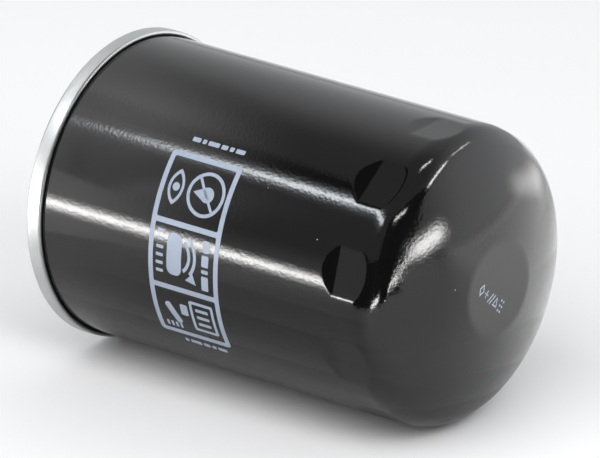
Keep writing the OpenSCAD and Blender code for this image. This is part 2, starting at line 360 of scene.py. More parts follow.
def finished_mesh(name, points, faces, material, crease=32):
    """An object of one closed mesh, smooth but for edges sharper than crease degrees."""
    mesh = bpy.data.meshes.new(name)
    mesh.from_pydata(points, [], faces)
    work = bmesh.new()
    work.from_mesh(mesh)
    bmesh.ops.recalc_face_normals(work, faces=work.faces)
    work.to_mesh(mesh)
    work.free()
    mesh.shade_smooth()
    mesh.set_sharp_from_angle(angle=math.radians(crease))
    mesh.materials.append(material)
    made = bpy.data.objects.new(name, mesh)
    scene.collection.objects.link(made)
    return made


def tell(piece):
    """Prints a piece's face count, its size and how many of its mesh's edges are open."""
    count = len(piece.data.polygons)
    places = np.array([v.co for v in piece.data.vertices]) / MM
    work = bmesh.new()
    work.from_mesh(piece.data)
    loose = sum(not e.is_manifold for e in work.edges)
    work.free()
    print(f"{piece.name}: {count} faces, {loose} open edges, mm from",
          np.round(places.min(0), 2).tolist(), "to", np.round(places.max(0), 2).tolist())


print("turned() makes a round solid from an outline")

# %% [markdown]
# ## The can
# A flat blank is drawn into a deep cup, its closed end is pressed to a dome with a flat
# disc in the middle, and ten flats for a cap wrench are pressed into the shoulder. At the
# open end the wall is turned outwards into a hook, which the lid is rolled over. The outline
# runs from the dome's centre along the outside, round the hook and back along the inside.

# %% The can's measures
CAN_R = 46.5
CAN_T = 0.45
SHOULDER_X, SHOULDER_R = 119.0, 10.5
APEX_X = 139.1
DISC_R = 14.5
shoulder_c = CAN_R - SHOULDER_R
rise = APEX_X - SHOULDER_X
dome_r = (rise ** 2 + shoulder_c ** 2 - SHOULDER_R ** 2) / (2 * (rise - SHOULDER_R))
dome_turn = math.degrees(math.asin(shoulder_c / (dome_r - SHOULDER_R)))
disc_turn = math.degrees(math.asin(DISC_R / dome_r))
disc_x = APEX_X - dome_r * (1 - math.cos(math.radians(disc_turn)))

# %% The can's outline
LID_T = 0.5
GAP = 0.03
RIM_END, RIM_FOOT = -5.3, 0.1
wall_line = CAN_R - CAN_T / 2
lid_hook_line = CAN_R + GAP + LID_T / 2
can_hook_line = lid_hook_line + LID_T / 2 + GAP + CAN_T / 2
rim_line = can_hook_line + CAN_T / 2 + GAP + LID_T / 2
bend_r = (can_hook_line - wall_line) / 2
bend_x = RIM_END + LID_T + 0.2 + CAN_T / 2 + bend_r
hook_end = RIM_FOOT - LID_T - 1.3
DISC_EASE = 12.0


def domed_end(inset):
    """The outline from the disc's centre to the straight wall, inset from the outside."""
    ease = DISC_EASE - inset
    half = math.radians(disc_turn) / 2
    edge_r = DISC_R - inset * math.tan(half)
    ease_x = disc_x - inset - ease
    ease_r = edge_r - ease * math.tan(half)
    flat = [(disc_x - inset, r) for r in (0.0, 5.0, 10.0, 13.0)]
    eased = arc((ease_x, ease_r), ease, 0, disc_turn, 6)
    ball = arc((APEX_X - dome_r, 0), dome_r - inset, disc_turn + 0.9, dome_turn - 0.4, 16)
    shoulder = arc((SHOULDER_X, shoulder_c), SHOULDER_R - inset, dome_turn, 90, 34)
    return flat + eased + ball + shoulder


outside_wall = [(x, CAN_R) for x in
                (*np.arange(118.6, 104.9, -0.4), 103.0, 98.0, 80.0, 60.0, 40.0, 20.0, 6.0, 0.0)]
bend_centre = (bend_x, wall_line + bend_r)
inner_bend = arc(bend_centre, bend_r - CAN_T / 2, 270, 90, 10)
hook_tip = [(hook_end, can_hook_line - CAN_T / 2), (hook_end, can_hook_line + CAN_T / 2)]
outer_bend = arc(bend_centre, bend_r + CAN_T / 2, 90, 270, 12)
inside_wall = [(x, CAN_R - CAN_T) for x in
               (10.0, 60.0, 104.0, *np.arange(105.0, 118.9, 0.8))]
inside_end = domed_end(CAN_T)[::-1][::2]
outside = domed_end(0) + outside_wall
outside_count = len(outside)
can_outline = outside + inner_bend + hook_tip + outer_bend + inside_wall + inside_end
print("can outline:", len(can_outline), "points,", outside_count, "of them outside")

# %% [markdown]
# Each wrench flat is a plane that cuts a little off the round wall, with a slope down to it.
# The radius at an angle is therefore the smaller of the wall's and the plane's. A smooth
# minimum rounds the edge between them, as a press does to sheet steel. A boolean would
# leave the edges sharp, and a bevel along such shallow edges is hard to control.

# %% Wrench flats and the finished can
FLUTES = 10
FLUTE_HALF = math.radians(9.7)
FLUTE_START, FLUTE_SLOPE = 106.7, 4.6
FLUTE_LEAD, FLUTE_INNER_R = 3.0, 36.0
FLUTE_TURN = math.radians(19.5)
PRESS_SOFTNESS = 0.10
flute_depth = CAN_R * (1 - math.cos(FLUTE_HALF))


def smooth_min(a, b, softness):
    near = np.maximum(softness - np.abs(a - b), 0) / softness
    return np.minimum(a, b) - near ** 2 * softness / 4


def can_radius(k, x, r, angle):
    """The can's radius, pressed in by the nearest flat."""
    if x < FLUTE_START - FLUTE_LEAD or r < FLUTE_INNER_R:
        return np.full(len(angle), r)
    inset = 0.0 if k < outside_count else CAN_T
    pitch = 2 * math.pi / FLUTES
    off = (angle - FLUTE_TURN + pitch / 2) % pitch - pitch / 2
    fall = min((x - FLUTE_START) / FLUTE_SLOPE, 1.0)
    plane = CAN_R - inset - flute_depth * fall
    return smooth_min(np.full(len(angle), r), plane / np.cos(off), PRESS_SOFTNESS)


can = turned("can_shell", can_outline, 480, paint, can_radius, crease=50)
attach(can, "housing")
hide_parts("can")
tell(can)
print("flat depth", round(flute_depth, 3), "mm")

# %% [markdown]
# ## The seaming lid and its rim
# The lid is a tinplate ring. Its outer edge is rolled with the can's hook into a double
# seam, which is the bright band round the open end. Further in it has a groove, a raised
# land and the channel that holds the gasket. It is a sheet of even thickness all the way,
# so its outline is a path with a thickness.

# %% The seaming lid
PLATE_X, PLATE_R = -0.8, 40.4
GASKET_IN, GASKET_OUT = 31.0, 35.5
chuck_line = CAN_R - CAN_T - GAP - LID_T / 2
rim_bend = (rim_line - lid_hook_line) / 2
channel_x = PLATE_X - LID_T / 2
channel_in = GASKET_IN - 0.4 - LID_T / 2
channel_out = GASKET_OUT + 0.4 + LID_T / 2
land_x = RIM_END + 1.4
WELL_X, WELL_BEND, BEND = 0.6, 1.2, 0.7


def corner(x, r, radius, start, end, steps=8):
    """A bend of the lid, with angles measured as in the CAD, from the radial direction."""
    return arc((x, r), radius, 90 - start, 90 - end, steps)


lid_path = (
    [(channel_x - 2.6, channel_in)]
    + corner(channel_x - BEND, channel_in + BEND, BEND, 180, 90)
    + corner(channel_x - BEND, channel_out - BEND, BEND, 90, 0)
    + corner(land_x + BEND, channel_out + BEND, BEND, 180, 270)
    + corner(land_x + BEND, PLATE_R - BEND, BEND, 270, 360)
    + corner(WELL_X - WELL_BEND, PLATE_R + WELL_BEND + 0.6, WELL_BEND, 180, 90)
    + corner(WELL_X - WELL_BEND, chuck_line - WELL_BEND, WELL_BEND, 90, 0)
    + corner(RIM_END + LID_T / 2 + BEND, chuck_line + BEND, BEND, 180, 270)
    + corner(RIM_END + LID_T / 2 + BEND, rim_line - BEND, BEND, 270, 360)
    + corner(RIM_FOOT - LID_T / 2 - rim_bend, rim_line - rim_bend, rim_bend, 0, 180, 12)
    + [(bend_x + 1, lid_hook_line)]
)
lid = turned("seaming_lid_rim", sheet_outline(lid_path, LID_T), 256, tin)
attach(lid, "housing")
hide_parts("seaming_lid")
tell(lid)

# %% [markdown]
# ## The gasket
# A moulded rubber ring of 62 mm inside and 71 mm outside, pressed into the lid's channel.
# Its sealing face has rounded edges and two low ridges that bite into the oil film.

# %% The gasket
foot = PLATE_X - LID_T - GAP
face = RIM_END - 1.5
ridge = [(face + 0.09 * math.sin(math.pi * k / 6) ** 2, 32.35 + 1.8 * k / 12)
         for k in range(13)]
gasket_outline = (
    [(foot, GASKET_IN + 0.15), (foot - 0.15, GASKET_IN)]
    + corner(face + 0.5, GASKET_IN + 0.7, 0.5, 180, 270)
    + ridge
    + corner(face + 0.5, GASKET_OUT - 0.7, 0.5, 270, 360)
    + [(foot - 0.15, GASKET_OUT), (foot, GASKET_OUT - 0.15)]
)
gasket = turned("gasket_ring", gasket_outline, 256, gasket_rubber)
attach(gasket, "housing")
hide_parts("outer_gasket")
tell(gasket)

# %% [markdown]
# ## The threaded plate
# The plate takes the whole load of the oil's pressure, so it is thick, with a collar that
# is tapped for the engine's stud: 3/4 inch, sixteen threads to the inch. The thread is a
# radius that rises and falls along the bore, moved along by one pitch per turn. That is
# cheaper and cleaner than cutting a helix, because the wall stays one closed surface.

# %% The threaded plate
THREAD_CREST, THREAD_ROOT, PITCH = 8.75, 9.45, 1.5875
COLLAR_R, COLLAR_END, PLATE_T = 12.9, 11.2, 3.2
bore = [(x, THREAD_CREST) for x in np.linspace(COLLAR_END, PLATE_X, 122)]
plate_outline = (
    bore
    + [(PLATE_X, PLATE_R - 0.3), (PLATE_X + 0.3, PLATE_R)]
    + [(PLATE_X + PLATE_T - 0.3, PLATE_R), (PLATE_X + PLATE_T, PLATE_R - 0.3)]
    + corner(PLATE_X + PLATE_T + 0.02, COLLAR_R + 0.02, 0.02, 270, 180, 2)
    + [(COLLAR_END - 0.4, COLLAR_R), (COLLAR_END, COLLAR_R - 0.4)]
)


def bore_radius(k, x, r, angle):
    """The thread's groove: a 60 degree vee with its crests and roots cut flat."""
    if k >= len(bore):
        return np.full(len(angle), r)
    phase = (x / PITCH - angle / (2 * math.pi)) % 1.0
    groove = np.clip(1.35 - 2.9 * np.abs(phase - 0.5), 0, 1)
    run_in = min(1.0, max(0.0, (COLLAR_END - 0.05 - x) / 0.5))
    threaded = THREAD_CREST + (THREAD_ROOT - THREAD_CREST) * groove * run_in
    return np.maximum(threaded, THREAD_CREST - x)


plate = turned("threaded_plate", plate_outline, 160, plate_skin, bore_radius, crease=38)
tell(plate)

# %% [markdown]
# Eight holes let the dirty oil in. They are punched, so each has a small rounded lead-in
# at the face. A ring of cutters is made first, and one boolean takes them all out.

# %% The oil inlets
INLETS, INLET_R, INLET_CIRCLE = 8, 4.2, 22.0
inner_face = PLATE_X + PLATE_T
EASE = 0.35
cut_outline = [(PLATE_X - 1, INLET_R + EASE), (PLATE_X, INLET_R + EASE),
               (PLATE_X + EASE, INLET_R), (inner_face - 0.2, INLET_R),
               (inner_face, INLET_R + 0.2), (inner_face + 1, INLET_R + 0.2)]
points, faces = [], []
SIDES = 40
for hole in range(INLETS):
    turn = -math.pi / 2 + 2 * math.pi * hole / INLETS
    centre = Vector((0, math.cos(turn), math.sin(turn))) * INLET_CIRCLE
    start = len(points)
    for x, r in cut_outline:
        ring = arc((centre.y, centre.z), r, 0, 360, SIDES)[:-1]
        points += [(x * MM, y * MM, z * MM) for y, z in ring]
    for level in range(len(cut_outline) - 1):
        for k in range(SIDES):
            low = start + level * SIDES
            faces.append([low + k, low + (k + 1) % SIDES,
                          low + SIDES + (k + 1) % SIDES, low + SIDES + k])
    faces.append([start + k for k in range(SIDES)])
    faces.append([start + (len(cut_outline) - 1) * SIDES + k for k in range(SIDES)])
cutters = finished_mesh("inlet_cutters", points, faces, plate_skin)


def settled(piece):
    """Replaces a piece's mesh by what its modifiers make of it, and removes them."""
    graph = bpy.context.evaluated_depsgraph_get()
    result = bpy.data.meshes.new_from_object(piece.evaluated_get(graph))
    piece.modifiers.clear()
    piece.data = result
    return piece


cut = plate.modifiers.new("inlets", "BOOLEAN")
cut.operation = "DIFFERENCE"
cut.solver = "EXACT"
cut.object = cutters
settled(plate)
bpy.data.objects.remove(cutters)
plate.data.set_sharp_from_angle(angle=math.radians(38))
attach(plate, "housing")
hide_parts("tapping_plate")
tell(plate)

# %% [markdown]
# ## The anti-drain valve
# A rubber hub grips the collar, and a thin cone of the same rubber lies over the inlet
# holes from inside, so that the filter stays full when the engine stops. On the real part
# they are one moulding, and the cone lifts by bending.

# %% The anti-drain valve
HUB_R, HUB_END = 16.4, 12.97
hub_outline = [
    (inner_face + 0.03, COLLAR_R + 0.03), (inner_face + 0.03, HUB_R - 0.4),
    (inner_face + 0.43, HUB_R), (HUB_END - 0.4, HUB_R), (HUB_END, HUB_R - 0.4),
    (HUB_END, COLLAR_R - 0.6), (HUB_END - 0.3, COLLAR_R - 0.9),
    (COLLAR_END + 0.33, COLLAR_R - 0.9), (COLLAR_END + 0.03, COLLAR_R - 0.6),
    (COLLAR_END + 0.03, COLLAR_R + 0.03)]
hub = turned("drain_valve_grip", hub_outline, 128, valve_rubber)
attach(hub, "housing")
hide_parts("drain_valve_hub")
tell(hub)

LIP_ROOT, LIP_EDGE = (7.65, 16.55), (3.2, 29.0)
lip_line = [(LIP_ROOT[0] + (LIP_EDGE[0] - LIP_ROOT[0]) * (t ** 1.12),
             LIP_ROOT[1] + (LIP_EDGE[1] - LIP_ROOT[1]) * t)
            for t in np.linspace(0, 1, 15)]
lip_half = [0.62 - 0.18 * math.sin(math.pi * min(t * 1.15, 1.0)) for t in np.linspace(0, 1, 15)]
slope = math.atan2(LIP_EDGE[1] - LIP_ROOT[1], LIP_ROOT[0] - LIP_EDGE[0])
lean = (math.sin(slope), math.cos(slope))
upper = [(x + h * lean[0], r + h * lean[1]) for (x, r), h in zip(lip_line, lip_half)]
lower = [(x - h * lean[0], r - h * lean[1]) for (x, r), h in zip(lip_line, lip_half)]
bead = [(3.35, 30.05), (2.75, 30.12), (2.43, 29.8), (2.43, 28.9), (2.62, 28.45)]
lip = turned("drain_valve_cone", upper + bead + lower[::-1][1:], 160, valve_rubber, crease=60)
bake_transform(lip)
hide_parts("drain_valve_lip")
tell(lip)

# %% [markdown]
# ## Springs, by Geometry Nodes
# Both springs follow one rule: a wire wound at a steady pitch, with its end turns closed
# up so that it stands square. The tree works out each point of the coil from its number,
# sweeps a circle along it and closes its ends. Its sizes are named inputs, so the same tree
# winds the small spring of the bypass valve and the big one behind the element.

# %% A tree that winds a coil
def geometry_tree(name, inputs):
    """A new tree with a geometry in and out, and named number inputs."""
    group = bpy.data.node_groups.new(name, "GeometryNodeTree")
    group.interface.new_socket("Geometry", in_out="INPUT", socket_type="NodeSocketGeometry")
    for label in inputs:
        group.interface.new_socket(label, in_out="INPUT", socket_type="NodeSocketFloat")
    group.interface.new_socket("Geometry", in_out="OUTPUT", socket_type="NodeSocketGeometry")
    start = group.nodes.new("NodeGroupInput")
    return group, Wire(group), {s.name: Wire(group, s) for s in start.outputs if s.name}


def end_tree(wire, geometry, material):
    """Realizes what was made, gives it its material and joins it to the output."""
    real = wire.node("GeometryNodeRealizeInstances", sockets={0: geometry})
    painted = wire.node("GeometryNodeSetMaterial", sockets={
        "Geometry": real, "Material": material})
    wire.node("NodeGroupOutput", sockets={0: painted})


def grown(name, group, values, material, base=None):
    """An object whose mesh a tree has made, with the tree's inputs set by identifier."""
    mesh = base or bpy.data.meshes.new(name)
    made = bpy.data.objects.new(name, mesh)
    scene.collection.objects.link(made)
    step = made.modifiers.new(group.name, "NODES")
    step.node_group = group
    for item in group.interface.items_tree:
        if item.in_out == "INPUT" and item.name in values:
            step[item.identifier] = float(values[item.name])
    settled(made)
    made.data.name = name
    if not made.data.materials:
        made.data.materials.append(material)
    made.data.shade_smooth()
    made.data.set_sharp_from_angle(angle=math.radians(40))
    return made


POINTS_PER_TURN = 40
coil, wire, size = geometry_tree("wind_a_coil", [
    "Turns", "Start Radius", "End Radius", "From", "To", "Wire Radius"])
steps = wire.node("FunctionNodeFloatToInt", sockets={0: size["Turns"] * POINTS_PER_TURN + 1})
line = wire.node("GeometryNodeMeshLine", sockets={"Count": steps})
number = wire.node("GeometryNodeInputIndex") / POINTS_PER_TURN
closed = size["Wire Radius"] * 2.1
free_pitch = (size["To"] - size["From"] - closed * 2) / (size["Turns"] - 2)
free_turns = (number - 1).math("MAXIMUM", 0.0)
free_turns = free_turns.math("MINIMUM", size["Turns"] - 2)
first_turn = number.math("MINIMUM", 1.0)
last_turn = (number - size["Turns"] + 1).math("MAXIMUM", 0.0)
along = size["From"] + closed * (first_turn + last_turn) + free_pitch * free_turns
radius = size["Start Radius"] + (size["End Radius"] - size["Start Radius"]) * (
    number / size["Turns"])
turn = number * (2 * math.pi)
point = wire.node("ShaderNodeCombineXYZ", sockets={
    "X": along, "Y": radius * turn.math("SINE"),
    "Z": 0.0 - radius * turn.math("COSINE")})
placed = wire.node("GeometryNodeSetPosition", sockets={"Geometry": line, "Position": point})
curve = wire.node("GeometryNodeMeshToCurve", sockets={"Mesh": placed})
section = wire.node("GeometryNodeCurvePrimitiveCircle", sockets={
    "Resolution": 14, "Radius": size["Wire Radius"]})
swept = wire.node("GeometryNodeCurveToMesh", sockets={
    "Curve": curve, "Profile Curve": section, "Fill Caps": True})
end_tree(wire, swept, wire_steel)
print("coil tree:", len(coil.nodes), "nodes")

# %% The two springs
VALVE_UNDER, CAGE_FLOOR = 116.38, 97.98
small_wire = 0.6
small = grown("bypass_spring_coil", coil, {
    "Turns": 7, "Start Radius": 6 * MM, "End Radius": 6 * MM,
    "From": (CAGE_FLOOR + 0.6 + small_wire) * MM, "To": (VALVE_UNDER - small_wire) * MM,
    "Wire Radius": small_wire * MM}, wire_steel)
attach(small, "housing")
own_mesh(small)
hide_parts("bypass_valve_spring")
tell(small)

big_wire = 1.1
big = grown("element_spring_coil", coil, {
    "Turns": 5, "Start Radius": 14.6 * MM, "End Radius": 11.5 * MM,
    "From": (119.03 + 0.6 + big_wire + 0.02) * MM,
    "To": (disc_x - CAN_T - big_wire - 0.02) * MM, "Wire Radius": big_wire * MM}, wire_steel)
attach(big, "housing")
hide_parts("support_spring")
tell(big)

# %% [markdown]
# ## Printing on the can
# The can carries a printed panel of three boxes. Its art here is made of plain shapes of
# our own, with bars in place of words. The art is drawn flat, in millimetres along the can
# and around it, filled, cut into narrow strips so that it can bend, and given a thickness.
# A Geometry Nodes tree then wraps it round the can. A decal or an image would be the usual
# way, but a thin layer of real ink needs no picture file and catches the light as ink does.

# %% Flat art
def circle(x, y, radius, count=36):
    return arc((x, y), radius, 0, 360, count)[:-1]


def rounded(x0, y0, x1, y1, radius, steps=5):
    """A box with rounded corners."""
    left, right, low, high = x0 + radius, x1 - radius, y0 + radius, y1 - radius
    return (arc((right, high), radius, 0, 90, steps) + arc((left, high), radius, 90, 180, steps)
            + arc((left, low), radius, 180, 270, steps)
            + arc((right, low), radius, 270, 360, steps))


def band(x, y, inner, outer, start, end, steps=18):
    """Part of a ring, between two angles in degrees."""
    return arc((x, y), outer, start, end, steps) + arc((x, y), inner, end, start, steps)


def turned_flat(loop, degrees, x, y):
    """A loop turned about a point."""
    c, s = math.cos(math.radians(degrees)), math.sin(math.radians(degrees))
    return [(x + (p - x) * c - (q - y) * s, y + (p - x) * s + (q - y) * c) for p, q in loop]


def drop(x, y, radius, height):
    """An oil drop, pointing towards the rim."""
    return arc((x, y), radius, -120, 120, 23) + [(x - height, y)]


def lens(x, y, half_long, half_wide, count=12):
    """The outline of an eye: two arcs that meet in points."""
    radius = (half_long ** 2 + half_wide ** 2) / (2 * half_wide)
    sweep = math.asin(half_long / radius)
    turn = np.linspace(-sweep, sweep, count, endpoint=False)
    side = [(radius * math.cos(a) - radius + half_wide, radius * math.sin(a)) for a in turn]
    return [(x + p, y + q) for p, q in side] + [(x - p, y - q) for p, q in side]


PANEL_X, PANEL_LONG = 41.5, 26.7
PANEL_TOP, PANEL_ROUND = -13.2, 60.2
LINE = 1.7
box_ends = [0.0, 20.7, 41.2, PANEL_ROUND - LINE]
art = []
holes = [rounded(LINE, top + LINE, PANEL_LONG - LINE, bottom, 0.5)
         for top, bottom in zip(box_ends, box_ends[1:])]
art.append([rounded(0, 0, PANEL_LONG, PANEL_ROUND, 1.4)] + holes)
art.append([circle(17.4, 10.9, 7.0), circle(17.4, 10.9, 5.9)])
art.append([drop(18.0, 10.9, 2.4, 5.4)])
art.append([turned_flat(rounded(11.0, 10.45, 23.8, 11.35, 0.1), 52, 17.4, 10.9)])
art.append([lens(6.0, 10.9, 5.6, 2.9), lens(6.0, 10.9, 4.2, 2.0)])
art.append([circle(6.0, 10.9, 1.3)])
print("panel art so far:", len(art), "shapes")

# %% More of the panel's art
for k in range(6):
    art.append([rounded(2.9, 24.2 + 2.5 * k, 5.6, 25.2 + 2.5 * k, 0.3)])
art.append([rounded(7.0, 24.4, 12.6, 37.6, 2.2)])
art.append([band(9.8, 31.0, 5.2, 6.3, -52, 52)])
art.append([band(9.8, 31.0, 7.4, 8.5, -52, 40)])
art.append([[(17.0, 35.6), (14.1, 38.2), (18.2, 39.0)]])
for k, long in enumerate((3.6, 3.6, 1.2, 4.6)):
    start = 24.2 + sum((3.6, 3.6, 1.2, 4.6)[:k]) + 0.9 * k
    art.append([rounded(20.4, start, 23.0, start + long, 0.4)])
art.append([rounded(14.4, 45.0, 23.6, 56.2, 0.8), rounded(15.4, 46.0, 22.6, 55.2, 0.4)])
for k in range(3):
    art.append([rounded(16.6, 47.4 + 2.6 * k, 21.4, 48.5 + 2.6 * k, 0.3)])
art.append([rounded(10.6, 47.2, 13.4, 51.2, 0.5)])
art.append([turned_flat(rounded(3.4, 50.0, 11.6, 52.4, 1.0), 62, 7.4, 51.2)])
for k in range(4):
    art.append([rounded(3.4 + 1.7 * k, 55.2, 4.3 + 1.7 * k, 57.2, 0.2)])
BAR_LONG = (3.0, 1.4, 4.2, 2.4, 1.6, 3.4)
for row, (top, shift) in enumerate(((-5.4, 4.6), (PANEL_ROUND + 1.9, 7.6))):
    reach = shift
    for long in BAR_LONG[row:]:
        art.append([rounded(reach, top, reach + long, top + 1.5, 0.35)])
        reach += long + 0.8
print("panel art:", len(art), "shapes")


# %% Fill, cut and thicken the art
def filled(name, shapes, cuts, thickness):
    """A flat slab from shapes, each a list of loops, cut across at the given places."""
    work = bmesh.new()
    for loops in shapes:
        edges = []
        for loop in loops:
            corners = [work.verts.new((x * MM, y * MM, 0)) for x, y in loop]
            edges += [work.edges.new((a, b)) for a, b in zip(corners, corners[1:] + corners[:1])]
        bmesh.ops.triangle_fill(work, use_beauty=True, use_dissolve=False, edges=edges)
    for place in cuts:
        bmesh.ops.bisect_plane(work, geom=work.verts[:] + work.edges[:] + work.faces[:],
                               plane_co=(0, place * MM, 0), plane_no=(0, 1, 0))
    bmesh.ops.recalc_face_normals(work, faces=work.faces)
    raised = bmesh.ops.extrude_face_region(work, geom=work.faces[:])
    for vert in [g for g in raised["geom"] if isinstance(g, bmesh.types.BMVert)]:
        vert.co.z += thickness * MM
    bmesh.ops.recalc_face_normals(work, faces=work.faces)
    mesh = bpy.data.meshes.new(name)
    work.to_mesh(mesh)
    work.free()
    return mesh


INK_T, INK_LIFT = 0.04, 0.004
flat_panel = filled("panel_art", art, np.arange(-4.8, PANEL_ROUND + 5, 1.2), INK_T)
print("flat panel:", len(flat_panel.polygons), "faces")

# %% [markdown]
# The wrapping rule is short: the distance along stays, the distance around becomes an angle,
# and the height above the paper is added to the can's radius. The print's first line starts
# at the angle Turn, and the art runs down the side of the can that faces the viewer. Seen
# from outside the wrapped art is a mirror image of the flat one, which turns its faces
# inwards, so the tree flips them.

# %% A tree that wraps flat art round the can
wrap, wire, size = geometry_tree("wrap_round_can", ["Can Radius", "Along", "Turn", "Lift"])
flat = wire.node("GeometryNodeInputPosition")
angle = size["Turn"] + flat.part("Y") / size["Can Radius"]
height = size["Can Radius"] + size["Lift"] + flat.part("Z")
bent = wire.node("ShaderNodeCombineXYZ", sockets={
    "X": flat.part("X") + size["Along"], "Y": height * angle.math("COSINE"),
    "Z": height * angle.math("SINE")})
moved = wire.node("GeometryNodeSetPosition", sockets={
    "Geometry": size["Geometry"], "Position": bent})
outward = wire.node("GeometryNodeFlipFaces", sockets={"Mesh": moved})
end_tree(wire, outward, ink)

FACING = 153.3
panel = grown("printed_panel", wrap, {
    "Can Radius": CAN_R * MM, "Along": PANEL_X * MM,
    "Turn": math.radians(FACING + math.degrees(PANEL_TOP / CAN_R)), "Lift": INK_LIFT * MM},
    ink, flat_panel)
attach(panel, "housing")
tell(panel)

# %% [markdown]
# A printer marks the dome's flat disc when the filter is packed. Here the mark is a row of
# plain figures that say nothing: a diamond, a plus, two strokes, a triangle and six dots.

# %% The mark on the dome
MARK_Y, MARK_Z, MARK_TURN = -3.6, -1.8, -41.0
STROKE = 0.42


def outline(x, y, half_long, half_high, sides):
    """A thin outline of a figure with three or four corners, as two loops."""
    turn = [math.pi / 2 + 2 * math.pi * k / sides for k in range(sides)]
    inner = 1 - 2 * STROKE / half_high
    return [[(x + half_long * share * math.cos(a), y + half_high * share * math.sin(a))
             for a in turn] for share in (1.0, inner)]


mark_art = [outline(-5.9, 0, 1.3, 2.1, 4), outline(2.9, -0.4, 1.5, 2.1, 3)]
mark_art += [[rounded(-3.9, -0.2, -1.9, 0.22, 0.1)], [rounded(-3.1, -1.3, -2.7, 1.3, 0.1)]]
mark_art += [[turned_flat(rounded(x, -1.9, x + STROKE, 1.9, 0.1), -24, x, 0)]
             for x in (-0.6, 0.6)]
mark_art += [[circle(x, y, 0.38, 10)] for x in (5.4, 6.6) for y in (-1.6, 0.0, 1.6)]
flat_mark = filled("mark_art", mark_art, [], INK_T)
for vert in flat_mark.vertices:
    a, b, h = vert.co
    c, s = math.cos(math.radians(MARK_TURN)), math.sin(math.radians(MARK_TURN))
    a, b = a * c - b * s, a * s + b * c
    vert.co = ((disc_x + INK_LIFT) * MM + h, a + MARK_Y * MM, b + MARK_Z * MM)
mark = bpy.data.objects.new("dome_mark", flat_mark)
scene.collection.objects.link(mark)
flat_mark.materials.append(ink)
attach(mark, "housing")
tell(mark)

# %% [markdown]
# ## Pieces that stay as the CAD has them
# The element, its end discs, its tube and the bypass valve already have their true shapes in
# the CAD model. They keep those shapes and get their finishes here.

# %% Finishes for the CAD pieces
CAD_FINISHES = {
    "seam_sealant": compound, "lower_end_disc": zinc, "upper_end_disc": zinc,
    "centre_tube": zinc, "pleat_seam_clip": zinc, "bypass_valve_seat": zinc,
    "bypass_valve_cage": zinc, "bypass_valve_disc": zinc, "bypass_valve_stem": plate_skin,
    "bypass_valve_seal": gasket_rubber, "lower_adhesive": potting, "upper_adhesive": potting,
    "filter_paper": paper}
for name, finish in CAD_FINISHES.items():
    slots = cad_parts[name].data.materials
    slots.clear()
    slots.append(finish)
print("finished CAD pieces:", len(CAD_FINISHES))

# %% [markdown]
# ## The table
# The filter lies on a matt white table, resting on its rim. The table has no gloss, so it
# shows the filter's shadow and no reflections.

# %% The table
TABLE_GAP, TABLE_SIZE = 0.0001, 30
floor_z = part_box("seaming_lid")[0].z - TABLE_GAP
bpy.ops.mesh.primitive_plane_add(size=TABLE_SIZE, location=(0, 0, floor_z))
table = bpy.context.object
table.name = "table"
table_top, tree = new_finish("table_top")
place = object_place(tree)
smear = noise(place, 9, 4.0)
complete(tree, base_color=smear.pick((0.855, 0.855, 0.86), (0.865, 0.865, 0.87)),
         roughness=0.40 + smear * 0.04, specular_ior_level=0.0)
table.data.materials.append(table_top)
print("table at", round(floor_z / MM, 2), "mm")

# %% [markdown]
# ## Sheets that only the paint sees
# Black gloss paint shows little of its own colour: what is seen in it is the room. So each
# streak in it is the reflection of a glowing strip, and each dark patch is the reflection of
# a black screen. All these sheets are hidden from the camera, from matt surfaces and from
# shadows, so that they can stand close to the filter and change nothing but reflections.
# They are placed by the direction in which they are seen from the can or from its dome,
# because a reflection depends on the direction far more than on the distance.

# %% Sheets and their directions
def facing(azimuth, elevation):
    """The direction towards a place round the filter: azimuth 0 is -Y and 90 is +X."""
    a, e = math.radians(azimuth), math.radians(elevation)
    return Vector((math.sin(a) * math.cos(e), -math.cos(a) * math.cos(e), math.sin(e)))


def let_through(tree, light, shade=(1.0, 1.0, 1.0, 1.0)):
    """Ends a tree with light of its own, added to what passes through from behind."""
    through = tree.node("ShaderNodeBsdfTransparent", sockets={"Color": shade})
    both = tree.node("ShaderNodeAddShader", sockets={0: light, 1: through})
    tree.node("ShaderNodeOutputMaterial", sockets={"Surface": both})


def glow(name, strength, colour, core, soft, clear=1.0):
    """A material that glows most along its middle line, and lets light through elsewhere.

    The glow falls to a quarter at core, a share of the sheet's height, and fades to nothing
    over the outer soft share of the sheet. Clear is the share of light that passes."""
    material, tree = new_finish(name)
    place = tree.node("ShaderNodeTexCoord", out="UV")
    x, y = place.part("X") - 0.5, place.part("Y") - 0.5
    across, up = x.math("ABSOLUTE"), y.math("ABSOLUTE")
    fade = (1 - across.between(0.5 - soft, 0.5)) * (1 - up.between(0.5 - soft, 0.5))
    spread = 1 / (1 + y * y / core ** 2)
    light = tree.node("ShaderNodeEmission", sockets={
        "Color": opaque(colour), "Strength": fade * spread * spread * strength})
    let_through(tree, light, 1 - fade * (1 - clear))
    return material


def sheet_in_air(name, corners, material):
    """A flat sheet that is seen only in reflections."""
    mesh = bpy.data.meshes.new(name)
    mesh.from_pydata([tuple(c) for c in corners], [], [list(range(len(corners)))])
    if len(corners) == 4:
        layer = mesh.uv_layers.new(name="sheet")
        for spot, uv in zip(layer.data, ((0, 0), (1, 0), (1, 1), (0, 1))):
            spot.uv = uv
    mesh.materials.append(material)
    made = bpy.data.objects.new(name, mesh)
    scene.collection.objects.link(made)
    made.visible_camera = False
    made.visible_diffuse = False
    made.visible_shadow = False


MIDDLE, DOME = Vector((0.06, 0, 0)), Vector((0.12, 0, 0))


